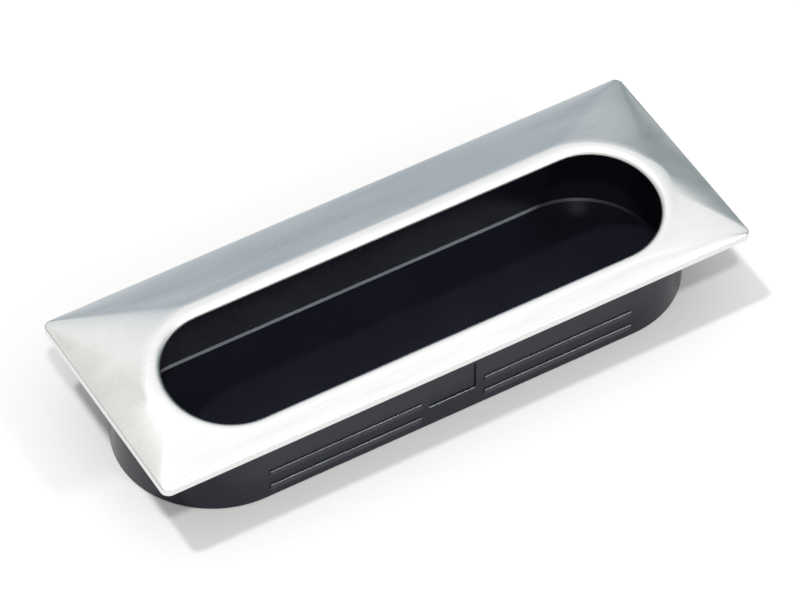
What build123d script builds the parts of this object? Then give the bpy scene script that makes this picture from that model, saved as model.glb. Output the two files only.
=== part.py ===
from build123d import *
import math
import os

os.makedirs("parts", exist_ok=True)

# A flush pull for a door or drawer front, in millimetres.
# The origin is the middle of the cup's underside. +Z points out of the door, +X runs along the
# pull, and -Y is the side where the fingers enter, so the broad grip strip is on +Y.

# Driving sizes: the cover, a pressed sheet
plate_length = 120.0
plate_width = 45.4
plate_corner_radius = 1.6
sheet_thickness = 0.8
rim_height = 1.3
rim_bend_radius = 0.6

# Driving sizes: the opening and the crest of the lip round it, low in front and high at the grip.
# Inside the crest the sheet rolls down to its edge, and outside it a wider crown meets the faces.
opening_end_margin = 10.55
opening_width = 24.1
front_crest_rise = 1.8
grip_crest_rise = 5.1
front_roll_radius = 1.2
grip_roll_radius = 1.5
end_roll_radius = 1.5
roll_angle = math.radians(65)
front_crown_radius = 1.8
grip_crown_radius = 6.0
end_crown_radius = 6.0
lip_turn_down = 0.1
lip_end_flat = 0.2
front_lip_setback = 0.15

# Driving sizes: the cup
cup_end_margin = 3.2
cup_width = 37.3
cup_depth = 17.4
wall_thickness = 1.4
floor_thickness = 1.6
cavity_draft_angle = 5.5
floor_edge_chamfer = 0.4
base_edge_chamfer = 0.3
flange_clearance = 0.1

# Driving sizes: the press-fit barbs and the recessed panel on the cup's front wall
barb_length = 30.7
barb_middle = 21.9
barb_edge_heights = (3.3, 6.9)
barb_depth = 0.3
barb_slope_height = 1.6
panel_width = 9.6
panel_bottom = 4.9
panel_height = 6.4
panel_depth = 0.35
moulded_edge_chamfer = 0.15

# Levels drawn for each bend, and the angle past the crest at which the opening cuts the sheet
rim_bend_steps = 2
crown_steps = 2
roll_steps = 3
crest_cut_angle = math.radians(8)

# Lengths, levels and places that follow from them
opening_length = plate_length - 2 * opening_end_margin
cup_length = plate_length - 2 * cup_end_margin
rim_bottom = cup_depth
rim_top = rim_bottom + rim_height
cavity_half_width = cup_width / 2 - wall_thickness
opening_middle = opening_width / 2 - cavity_half_width - front_lip_setback
front_wall = -cup_width / 2

# The crest of the lip lies in one sloping plane
front_crest_offset = front_roll_radius * math.sin(roll_angle)
grip_crest_offset = grip_roll_radius * math.sin(roll_angle)
end_crest_offset = end_roll_radius * math.sin(roll_angle)
crest_spacing = opening_width + front_crest_offset + grip_crest_offset
lip_tilt = math.asin((grip_crest_rise - front_crest_rise) / crest_spacing)
opening_to_front_crest = opening_width / 2 + front_crest_offset
crest_middle = rim_top + front_crest_rise + opening_to_front_crest * math.sin(lip_tilt)


def lip_plane(front_height, grip_height, width):
    """The crest's plane, lowered or raised at the front and grip edges of an outline."""
    tilt = lip_tilt + math.atan((grip_height - front_height) / width)
    middle = (front_height + grip_height) / 2
    normal = Vector(0, -math.sin(lip_tilt), math.cos(lip_tilt))
    return Plane(
        origin=Vector(0, opening_middle, crest_middle) + normal * middle,
        x_dir=(1, 0, 0),
        z_dir=(0, -math.sin(tilt), math.cos(tilt)),
    )


def face_slope(run, rise, radius):
    """Angle of a straight face that leaves the rim's edge and runs into the lip's crown."""
    up = rise - radius
    return math.atan2(up, run) + math.asin(radius / math.hypot(up, run))


end_run = (plate_length - opening_length) / 2 - end_crest_offset
front_run = (plate_width - opening_width) / 2 + opening_middle - front_crest_offset
grip_run = (plate_width - opening_width) / 2 - opening_middle - grip_crest_offset
end_rise = (front_crest_rise + grip_crest_rise) / 2
front_slope = face_slope(front_run, front_crest_rise, front_crown_radius) + lip_tilt
grip_slope = face_slope(grip_run, grip_crest_rise, grip_crown_radius) - lip_tilt
end_slope = face_slope(end_run, end_rise, end_crown_radius)


def rim_outline(inset, height):
    """Draw one level of the rim."""
    with BuildSketch(Plane.XY.offset(height)) as level:
        corner = plate_corner_radius - inset
        RectangleRounded(plate_length - 2 * inset, plate_width - 2 * inset, corner)
    return level.sketch


def bend_outline(angles, radii, inset):
    """Draw one level of the lip. Angles and radii are for the front, grip and end.

    An angle is 0 at the crest and negative outside it.
    """
    bends = [radius - inset for radius in radii]
    offsets = [bend * math.sin(angle) for bend, angle in zip(bends, angles)]
    falls = [bend * math.cos(angle) - radius for bend, angle, radius in zip(bends, angles, radii)]
    front = front_crest_offset - offsets[0]
    grip = grip_crest_offset - offsets[1]
    end = end_crest_offset - offsets[2]
    width = opening_width + front + grip
    with BuildSketch(lip_plane(falls[0], falls[1], width)) as level:
        with Locations((0, (grip - front) / 2)):
            RectangleRounded(opening_length + 2 * end, width, (width - lip_end_flat) / 2)
    return level.sketch


crown_radii = (front_crown_radius, grip_crown_radius, end_crown_radius)
roll_radii = (front_roll_radius, grip_roll_radius, end_roll_radius)


def crowned_plate(inset, rim_levels, ruled):
    """The sloping faces and the lip's crown, filled in across the opening."""
    rim = [rim_outline(inset + inwards, height) for inwards, height in rim_levels]
    extrude(to_extrude=rim[0], amount=rim_bottom - rim_levels[0][1])
    levels = []
    for step in range(crown_steps + 1):
        share = 1 - step / crown_steps
        angles = (-front_slope * share, -grip_slope * share, -end_slope * share)
        levels.append(bend_outline(angles, crown_radii, inset))
    loft(sections=rim + levels[:1], ruled=True)
    loft(sections=levels, ruled=ruled)


def throat(inset, depth):
    """The opening, with the lip's roll flaring out to the crest."""
    step_angle = (roll_angle - crest_cut_angle) / roll_steps
    angles = [crest_cut_angle + step_angle * step for step in range(roll_steps + 1)]
    levels = [bend_outline([angle] * 3, roll_radii, inset) for angle in angles]
    loft(sections=levels, ruled=True)
    extrude(to_extrude=levels[0], amount=grip_crest_rise)
    extrude(to_extrude=levels[-1], amount=-depth)


# Rim bend: from upright to the mean slope of the faces, as pairs of inset and height
rim_turn = math.pi / 2 - end_slope
rim_bend_foot = rim_top - rim_bend_radius * math.tan(rim_turn / 2)
rim_bend = []
for step in range(rim_bend_steps + 1):
    angle = rim_turn * step / rim_bend_steps
    inwards = rim_bend_radius * (1 - math.cos(angle))
    rim_bend.append((inwards, rim_bend_foot + rim_bend_radius * math.sin(angle)))

# Lip space: the opening together with the rolled sheet round it
with BuildPart() as lip_space:
    throat(sheet_thickness, lip_turn_down)

# Under the sheet: the space that the cup's flange fills
inner_rim_top = rim_top + sheet_thickness * (math.tan(end_slope) - 1 / math.cos(end_slope))
with BuildPart() as under_sheet:
    crowned_plate(sheet_thickness, [(0, inner_rim_top)], True)
    add(lip_space.part, mode=Mode.SUBTRACT)

# Opening: everything inside the lip, from below the rim to above the crest
with BuildPart() as opening:
    throat(0, cup_depth)

# Cover: one pressed sheet with a turned-down rim and a lip rolled into the opening
with BuildPart() as cover:
    crowned_plate(0, rim_bend, False)
    add(opening.part, mode=Mode.SUBTRACT)
    add(under_sheet.part, mode=Mode.SUBTRACT)

cover.part.label = "cover"
export_step(cover.part, "parts/cover.step")

# Cavity: drafted below the door's face, with a bevelled floor edge, and upright above it
with BuildPart() as cavity:
    with BuildSketch(Plane.XY.offset(rim_bottom)) as mouth:
        SlotOverall(cup_length - 2 * wall_thickness, 2 * cavity_half_width)
    depth = cup_depth - floor_thickness
    extrude(to_extrude=mouth.sketch, amount=-depth, taper=cavity_draft_angle)
    chamfer(cavity.edges().group_by(Axis.Z)[0], floor_edge_chamfer)
    extrude(to_extrude=mouth.sketch, amount=cup_depth)

# Cup: a moulded tub whose flange backs the sheet and holds it by its rim and lip
with BuildPart() as cup:
    with BuildSketch():
        SlotOverall(cup_length, cup_width)
    extrude(amount=cup_depth)
    chamfer(cup.edges().group_by(Axis.Z)[0], base_edge_chamfer)

    # Flange: it fills the space under the sheet, clear of the rim's sides
    add(under_sheet.part)
    with BuildSketch(Plane.XY.offset(rim_bottom)):
        RectangleRounded(plate_length, plate_width, plate_corner_radius)
        inside = sheet_thickness + flange_clearance
        RectangleRounded(
            plate_length - 2 * inside,
            plate_width - 2 * inside,
            plate_corner_radius - inside,
            mode=Mode.SUBTRACT,
        )
    extrude(amount=inner_rim_top - rim_bottom, mode=Mode.SUBTRACT)

    add(cavity.part, mode=Mode.SUBTRACT)

    # Barbs: flat on top and sloping below, so that the cup slides into its cut-out and grips it
    for middle in (-barb_middle, barb_middle):
        for height in barb_edge_heights:
            with BuildSketch(Plane.YZ.offset(middle)):
                with BuildLine():
                    Polyline(
                        (front_wall + barb_depth, height),
                        (front_wall - barb_depth + moulded_edge_chamfer, height),
                        (front_wall - barb_depth, height - moulded_edge_chamfer),
                        (front_wall, height - barb_slope_height),
                        (front_wall + barb_depth, height - barb_slope_height),
                        close=True,
                    )
                make_face()
            extrude(amount=barb_length / 2, both=True)

    # Panel: a plain shallow recess between the barbs, with a bevelled lower edge
    panel_top = panel_bottom + panel_height
    panel_back = front_wall + panel_depth
    with BuildSketch(Plane.YZ):
        with BuildLine():
            Polyline(
                (front_wall, panel_bottom - moulded_edge_chamfer),
                (front_wall + moulded_edge_chamfer, panel_bottom),
                (panel_back, panel_bottom),
                (panel_back, panel_top),
                (front_wall, panel_top),
                close=True,
            )
        make_face()
    extrude(amount=panel_width / 2, both=True, mode=Mode.SUBTRACT)

cup.part.label = "cup"
export_step(cup.part, "parts/cup.step")
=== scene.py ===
import math

import bpy
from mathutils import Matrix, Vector


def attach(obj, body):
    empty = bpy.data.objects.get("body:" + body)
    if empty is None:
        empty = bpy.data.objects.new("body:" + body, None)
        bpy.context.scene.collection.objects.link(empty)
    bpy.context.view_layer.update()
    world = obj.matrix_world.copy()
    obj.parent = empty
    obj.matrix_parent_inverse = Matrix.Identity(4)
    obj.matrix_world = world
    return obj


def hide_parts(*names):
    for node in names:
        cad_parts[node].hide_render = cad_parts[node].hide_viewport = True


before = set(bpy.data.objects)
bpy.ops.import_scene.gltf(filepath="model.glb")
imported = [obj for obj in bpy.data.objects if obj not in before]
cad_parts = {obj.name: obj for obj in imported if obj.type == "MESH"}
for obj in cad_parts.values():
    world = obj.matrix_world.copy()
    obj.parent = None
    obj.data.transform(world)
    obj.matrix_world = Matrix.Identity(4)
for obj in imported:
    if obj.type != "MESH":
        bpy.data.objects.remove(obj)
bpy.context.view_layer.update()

MM = 0.001

# Camera: the photograph's viewing angle. Its places and clip distances are in metres.
CAMERA_PLACE = Vector((-0.32462, -0.55265, 0.72598))
CAMERA_TARGET = Vector((0.00333, 0.00549, 0.00567))
CLIP_START, CLIP_END = 0.05, 20
FOCAL_PIXELS = 5373.8
IMAGE_WIDTH = 800
SENSOR_MM = 36.0

# Sizes of the cover, in millimetres, as in the part
PLATE_LENGTH = 120.0
PLATE_WIDTH = 45.4
CORNER_RADIUS = 1.6
SHEET = 0.8
RIM_BOTTOM = 17.4
RIM_TOP = 18.7
RIM_BEND = 0.6
OPENING_LENGTH = 98.9
OPENING_WIDTH = 24.1
OPENING_MIDDLE = -5.35
FRONT_RISE = 1.8
GRIP_RISE = 5.1
FRONT_ROLL, GRIP_ROLL, END_ROLL = 1.2, 1.5, 1.5
FRONT_CROWN, GRIP_CROWN, END_CROWN = 1.8, 6.0, 6.0
ROLL_ANGLE = math.radians(65)
TURN_DOWN = 0.1
END_FLAT = 0.2

# The crest of the lip: how far it stands out from the opening, its tilt and its middle height
FRONT_CREST = FRONT_ROLL * math.sin(ROLL_ANGLE)
GRIP_CREST = GRIP_ROLL * math.sin(ROLL_ANGLE)
END_CREST = END_ROLL * math.sin(ROLL_ANGLE)
LIP_TILT = math.asin((GRIP_RISE - FRONT_RISE) / (OPENING_WIDTH + FRONT_CREST + GRIP_CREST))
CREST_MIDDLE = RIM_TOP + FRONT_RISE + (OPENING_WIDTH / 2 + FRONT_CREST) * math.sin(LIP_TILT)

# Steps of the cover's grid: round the plate, and from the rim to the lip's edge
SIDE_STEPS, CORNER_STEPS, END_STEPS = 24, 30, 24
RIM_ROWS, FACE_ROWS, CROWN_ROWS, ROLL_ROWS = 6, 14, 8, 8

# How softly the hips turn, as the spread of stations that each point of the lip is a mean of
HIP_SPREAD = 0.75
HIP_SAMPLES = 21

# How much steeper the faces leave the rim than they meet the crown, as a share of their run
FACE_BOW = 0.05

# Smallest radii on the sheet's lower side, and the angle at which shading turns sharp
LEAST_CORNER, LEAST_BEND = 0.05, 0.02
SHARP_ANGLE = math.radians(50)

# Noise: how far it is turned about the pull's length, so that no flat face lies along its
# cells, and the middle part of its values that the materials use
NOISE_TURN = 0.35
NOISE_REACH = (0.3, 0.7)

# Satin steel: scales are per metre along X, Y and Z, and depths are in metres
STREAK_SCALE, WAVE_SCALE, SHEEN_SCALE = (70, 1700, 1700), (50, 800, 800), (40, 230, 230)
STEEL_DARK, STEEL_LIGHT = (0.715, 0.72, 0.72), (0.825, 0.825, 0.82)
STEEL_ROUGHNESS = (0.27, 0.33)
WAVE_STRENGTH, WAVE_DEPTH = 0.15, 0.00001

# Black plastic: its edges are softened, and painted shade darkens its corners, recesses and the
# wall under the cover by turning down their shine, within these distances
GRAIN_SCALE, PATCH_SCALE = (5000, 5000, 5000), (120, 120, 120)
PLASTIC_DARK, PLASTIC_LIGHT = (0.006, 0.006, 0.011), (0.009, 0.009, 0.015)
PLASTIC_ROUGHNESS = (0.25, 0.29)
# Shine of the plastic: full in the open, lowest where painted shade falls in corners
PLASTIC_SHINE_AND_SHADE = (0.08, 0.33)
PLASTIC_TINT = (0.86, 0.92, 1.0)
GRAIN_STRENGTH, GRAIN_DEPTH = 0.3, 0.00001
SOFT_EDGE, PAINTED_SHADE_REACH = 0.00008, 0.0004

# Floor, in metres, and its colour
FLOOR_SIZE = 8
FLOOR_COLOUR = (0.61, 0.61, 0.61)

# Lamps: name, direction towards it, irradiance, and angle across in degrees
LAMPS = (
    ("top_light", (-0.28, 0.04, 1.0), 1.5, 4),
    ("side_light", (-0.24, -0.5, 1.0), 1.25, 4),
    ("edge_light", (0.335, -0.75, 0.571), 0.75, 5),
)

# Studio surround: grey walls at the back and sides, bright overhead and in front
BACK_LEFT, BACK_RIGHT, RIGHT = (0.04, 0.065, 0.085), (0.17, 0.255, 0.325), (0.13, 0.195, 0.21)
FRONT = (0.72, 0.71, 0.70)
CEILING_LEFT, CEILING = (0.83, 0.815, 0.785), (1.13, 1.13, 1.125)
CEILING_SLANT = (-0.25, 0, 1)


def outline_runs(length, width, radius):
    """Lengths of a rounded rectangle's eight runs, from the rear side's left end, clockwise."""
    arc = math.pi / 2 * radius
    return [length - 2 * radius, arc, width - 2 * radius, arc] * 2


def travelled(runs, station):
    """Distance along the runs at a station, where each run takes one station."""
    turns, station = divmod(station, len(runs))
    index = min(int(station), len(runs) - 1)
    return turns * sum(runs) + sum(runs[:index]) + runs[index] * (station - index)


def outline_point(length, width, radius, distance):
    """Place and outward direction on a rounded rectangle's outline."""
    runs = outline_runs(length, width, radius)
    distance %= sum(runs)
    index = 0
    while index < len(runs) - 1 and distance > runs[index]:
        distance -= runs[index]
        index += 1
    quarter, on_arc = divmod(index, 2)
    along_x, along_y = length / 2 - radius, width / 2 - radius
    starts = [(-along_x, along_y), (along_x, along_y), (along_x, -along_y), (-along_x, -along_y)]
    angle = math.pi / 2 * (1 - quarter)
    if on_arc:
        centre = starts[(quarter + 1) % 4]
        angle -= distance / radius
    else:
        heading = angle - math.pi / 2
        start = starts[quarter]
        centre = (start[0] + math.cos(heading) * distance, start[1] + math.sin(heading) * distance)
    outward = Vector((math.cos(angle), math.sin(angle), 0))
    return Vector((*centre, 0)) + outward * radius, outward


def rim_point(station, inset, height):
    """A point of the rim's outline, moved inwards and set at a height."""
    corner = max(CORNER_RADIUS - inset, LEAST_CORNER)
    size = (PLATE_LENGTH - 2 * inset, PLATE_WIDTH - 2 * inset, corner)
    point, _ = outline_point(*size, travelled(outline_runs(*size), station))
    point.z = height
    return point


def lip_point(station, angle, inset):
    """A point of the lip. The angle is 0 at the crest and negative outside it."""
    outside = angle < 0
    front_radius = FRONT_CROWN if outside else FRONT_ROLL
    grip_radius = GRIP_CROWN if outside else GRIP_ROLL
    end_radius = END_CROWN if outside else END_ROLL
    front = FRONT_CREST - (front_radius - inset) * math.sin(angle)
    grip = GRIP_CREST - (grip_radius - inset) * math.sin(angle)
    end = END_CREST - (end_radius - inset) * math.sin(angle)
    low = (front_radius - inset) * math.cos(angle) - front_radius
    high = (grip_radius - inset) * math.cos(angle) - grip_radius
    width = OPENING_WIDTH + front + grip
    size = (OPENING_LENGTH + 2 * end, width, (width - END_FLAT) / 2)
    runs = outline_runs(*size)
    offsets = [HIP_SPREAD * (2 * n / (HIP_SAMPLES - 1) - 1) for n in range(HIP_SAMPLES)]
    distance = sum(travelled(runs, station + offset) for offset in offsets) / HIP_SAMPLES
    flat, outward = outline_point(*size, distance)
    flat.y += (grip - front) / 2
    tilt = LIP_TILT + math.atan((high - low) / width)
    up = Vector((0, -math.sin(LIP_TILT), math.cos(LIP_TILT)))
    along = Vector((0, math.cos(tilt), math.sin(tilt)))
    origin = Vector((0, OPENING_MIDDLE, CREST_MIDDLE)) + up * (low + high) / 2
    return origin + Vector((flat.x, 0, 0)) + along * flat.y, outward, up


def column(station, inset):
    """One section of the sheet's upper side, or of its lower side where the inset is the sheet."""
    crest, outward, up = lip_point(station, 0, inset)
    edge = rim_point(station, inset, RIM_TOP)
    side = GRIP_CROWN if outward.y > 0 else FRONT_CROWN
    radius = END_CROWN * outward.x ** 2 + side * outward.y ** 2 - inset
    across = (edge - crest).dot(outward)
    rise = crest.z - edge.z - radius
    slope = math.atan2(rise, across) + math.asin(radius / math.hypot(across, rise))
    edge.z -= inset * (1 / math.cos(slope) - math.tan(slope))

    # Rim: upright, then bent over to the face's slope
    bend = max(RIM_BEND - inset, LEAST_BEND)
    turn = math.pi / 2 - slope
    foot = edge.z - bend * math.tan(turn / 2)
    points = [rim_point(station, inset, RIM_BOTTOM)]
    for row in range(RIM_ROWS + 1):
        angle = turn * row / RIM_ROWS
        inwards = inset + bend * (1 - math.cos(angle))
        points.append(rim_point(station, inwards, foot + bend * math.sin(angle)))

    # Face: from the rim to the foot of the crown
    start = LIP_TILT * outward.y - slope
    rim_end, crown_foot = points[-1], lip_point(station, start, inset)[0]
    run = (crown_foot - rim_end).length
    for row in range(1, FACE_ROWS):
        share = row / FACE_ROWS
        point = rim_end.lerp(crown_foot, share)
        point.z += FACE_BOW * run * share * (1 - share) ** 2
        points.append(point)

    # Crown up to the crest, then the roll down into the opening
    for row in range(CROWN_ROWS):
        points.append(lip_point(station, start * (1 - row / CROWN_ROWS), inset)[0])
    for row in range(ROLL_ROWS + 1):
        points.append(lip_point(station, ROLL_ANGLE * row / ROLL_ROWS, inset)[0])
    points.append(points[-1] - up * TURN_DOWN)
    return points


def build_cover():
    """The pressed sheet as one closed grid: out over the upper side and back under it."""
    steps = [SIDE_STEPS, CORNER_STEPS, END_STEPS, CORNER_STEPS] * 2
    stations = [run + n / count for run, count in enumerate(steps) for n in range(count)]
    loops = [column(station, 0) + column(station, SHEET)[::-1] for station in stations]
    rows, columns = len(loops[0]), len(loops)
    vertices = [point * MM for loop in loops for point in loop]
    faces = []
    for i in range(columns):
        here, there = i * rows, (i + 1) % columns * rows
        for j in range(rows):
            k = (j + 1) % rows
            faces.append((here + j, here + k, there + k, there + j))
    mesh = bpy.data.meshes.new("cover_sheet")
    mesh.from_pydata(vertices, [], faces)
    mesh.validate()
    mesh.polygons.foreach_set("use_smooth", [True] * len(mesh.polygons))
    mesh.set_sharp_from_angle(angle=SHARP_ANGLE)
    piece = bpy.data.objects.new("cover_sheet", mesh)
    bpy.context.scene.collection.objects.link(piece)
    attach(piece, "root")
    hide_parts("cover")
    return piece


def new_material(name):
    """A material with its node tree and its shader."""
    material = bpy.data.materials.new(name)
    material.use_nodes = True
    return material, material.node_tree, material.node_tree.nodes["Principled BSDF"]


def stretched_noise(tree, scale, detail=3.0):
    """Noise in the object's own metres, stretched by a scale for each axis."""
    place = tree.nodes.new("ShaderNodeTexCoord")
    mapping = tree.nodes.new("ShaderNodeMapping")
    mapping.inputs["Scale"].default_value = scale
    mapping.inputs["Rotation"].default_value = (NOISE_TURN, 0, 0)
    noise = tree.nodes.new("ShaderNodeTexNoise")
    noise.inputs["Scale"].default_value = 1
    noise.inputs["Detail"].default_value = detail
    tree.links.new(place.outputs["Object"], mapping.inputs["Vector"])
    tree.links.new(mapping.outputs["Vector"], noise.inputs["Vector"])
    return noise.outputs["Fac"]


def mapped(tree, value, reach, result=(0, 1), smooth=False):
    """A value whose reach is mapped to a result, held at the result's ends outside it."""
    node = tree.nodes.new("ShaderNodeMapRange")
    if smooth:
        node.interpolation_type = "SMOOTHSTEP"
    names = ("From Min", "From Max", "To Min", "To Max")
    for name, number in zip(names, (*reach, *result)):
        node.inputs[name].default_value = number
    tree.links.new(value, node.inputs["Value"])
    return node.outputs["Result"]


def mixed(tree, factor, first, second):
    """A colour between two. Each is three numbers or another node's output."""
    node = tree.nodes.new("ShaderNodeMix")
    node.data_type = "RGBA"
    tree.links.new(factor, node.inputs[0])
    for socket, colour in ((node.inputs[6], first), (node.inputs[7], second)):
        if isinstance(colour, tuple):
            socket.default_value = (*colour, 1)
        else:
            tree.links.new(colour, socket)
    return node.outputs[2]


def bumped(tree, value, strength, depth, normal=None):
    """A bump whose depth is in metres."""
    node = tree.nodes.new("ShaderNodeBump")
    node.inputs["Strength"].default_value = strength
    node.inputs["Distance"].default_value = depth
    tree.links.new(value, node.inputs["Height"])
    if normal:
        tree.links.new(normal, node.inputs["Normal"])
    return node.outputs["Normal"]


def satin_steel():
    """Stainless sheet with a satin finish, brushed along the pull."""
    material, tree, shader = new_material("satin_steel")
    streaks = stretched_noise(tree, STREAK_SCALE, 1.5)
    waves = stretched_noise(tree, WAVE_SCALE, 1.0)
    sheen = stretched_noise(tree, SHEEN_SCALE)
    links = tree.links
    links.new(mixed(tree, streaks, STEEL_DARK, STEEL_LIGHT), shader.inputs["Base Color"])
    links.new(mapped(tree, sheen, NOISE_REACH, STEEL_ROUGHNESS), shader.inputs["Roughness"])
    links.new(bumped(tree, waves, WAVE_STRENGTH, WAVE_DEPTH), shader.inputs["Normal"])
    shader.inputs["Metallic"].default_value = 1
    return material


def black_plastic():
    """Moulded black plastic: a fine grain, soft edges, and painted shade in its corners, where
    occlusion turns its shine down.
    """
    material, tree, shader = new_material("black_plastic")
    grain = stretched_noise(tree, GRAIN_SCALE, 2.0)
    patches = stretched_noise(tree, PATCH_SCALE)
    edges = tree.nodes.new("ShaderNodeBevel")
    edges.samples = 6
    edges.inputs["Radius"].default_value = SOFT_EDGE
    # Painted shade: occlusion marks the corners, recesses and the wall under the cover, where the
    # shine is turned down
    corner_shade = tree.nodes.new("ShaderNodeAmbientOcclusion")
    corner_shade.samples = 8
    corner_shade.inputs["Distance"].default_value = PAINTED_SHADE_REACH
    colour = mixed(tree, patches, PLASTIC_DARK, PLASTIC_LIGHT)
    roughness = mapped(tree, patches, NOISE_REACH, PLASTIC_ROUGHNESS)
    # Painted shade: the shine falls from its full level to its lowest where occlusion is close
    shine_and_painted_shade = mapped(tree, corner_shade.outputs["AO"], (0.3, 0.7), PLASTIC_SHINE_AND_SHADE)
    normal = bumped(tree, grain, GRAIN_STRENGTH, GRAIN_DEPTH, edges.outputs["Normal"])
    tree.links.new(colour, shader.inputs["Base Color"])
    tree.links.new(roughness, shader.inputs["Roughness"])
    tree.links.new(shine_and_painted_shade, shader.inputs["Specular IOR Level"])
    tree.links.new(normal, shader.inputs["Normal"])
    shader.inputs["Specular Tint"].default_value = (*PLASTIC_TINT, 1)
    return material


def dress(node, material):
    """Give a CAD node its material."""
    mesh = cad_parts[node].data
    mesh.materials.clear()
    mesh.materials.append(material)


def build_floor():
    """A pale floor, white in the light, that keeps the shadow."""
    bpy.ops.mesh.primitive_plane_add(size=FLOOR_SIZE)
    floor = bpy.context.object
    floor.name = "floor"
    material, _, shader = new_material("floor_white")
    shader.inputs["Base Color"].default_value = (*FLOOR_COLOUR, 1)
    shader.inputs["Roughness"].default_value = 1
    shader.inputs["Specular IOR Level"].default_value = 0
    floor.data.materials.append(material)


def add_sun(name, direction, irradiance, angle):
    """A lamp far away in a direction."""
    data = bpy.data.lights.new(name, "SUN")
    data.energy = irradiance
    data.angle = math.radians(angle)
    lamp = bpy.data.objects.new(name, data)
    lamp.rotation_mode = "QUATERNION"
    lamp.rotation_quaternion = (-Vector(direction)).to_track_quat("-Z", "Y")
    bpy.context.scene.collection.objects.link(lamp)


def build_surround():
    """The studio's walls and ceiling, as a colour for each direction."""
    world = bpy.data.worlds.new("studio")
    bpy.context.scene.world = world
    world.use_nodes = True
    tree = world.node_tree
    direction = tree.nodes.new("ShaderNodeTexCoord").outputs["Generated"]
    axes = tree.nodes.new("ShaderNodeSeparateXYZ")
    tree.links.new(direction, axes.inputs[0])
    x, y = axes.outputs["X"], axes.outputs["Y"]
    slant = tree.nodes.new("ShaderNodeVectorMath")
    slant.operation = "DOT_PRODUCT"
    slant.inputs[1].default_value = CEILING_SLANT
    tree.links.new(direction, slant.inputs[0])

    back = mixed(tree, mapped(tree, x, (-0.45, 0.25), smooth=True), BACK_LEFT, BACK_RIGHT)
    rear = mixed(tree, mapped(tree, x, (0.4, 0.8), smooth=True), back, RIGHT)
    walls = mixed(tree, mapped(tree, y, (0.1, -0.6), smooth=True), rear, FRONT)
    ceiling = mixed(tree, mapped(tree, x, (-0.5, 0.1), smooth=True), CEILING_LEFT, CEILING)
    overhead = mapped(tree, slant.outputs["Value"], (-0.12, 0.78), smooth=True)
    background = tree.nodes["Background"]
    tree.links.new(mixed(tree, overhead, walls, ceiling), background.inputs["Color"])
    background.inputs["Strength"].default_value = 1


def build_camera():
    """The camera that was fitted to the photograph."""
    data = bpy.data.cameras.new("camera")
    data.sensor_width = SENSOR_MM
    data.lens = FOCAL_PIXELS * SENSOR_MM / IMAGE_WIDTH
    data.clip_start = CLIP_START
    data.clip_end = CLIP_END
    camera = bpy.data.objects.new("camera", data)
    camera.location = CAMERA_PLACE
    camera.rotation_mode = "QUATERNION"
    camera.rotation_quaternion = (CAMERA_TARGET - CAMERA_PLACE).to_track_quat("-Z", "Y")
    bpy.context.scene.collection.objects.link(camera)
    return camera


build_cover().data.materials.append(satin_steel())
dress("cup", black_plastic())
build_floor()
for lamp in LAMPS:
    add_sun(*lamp)
build_surround()

bpy.context.scene.camera = build_camera()
bpy.context.scene.view_settings.view_transform = "Standard"
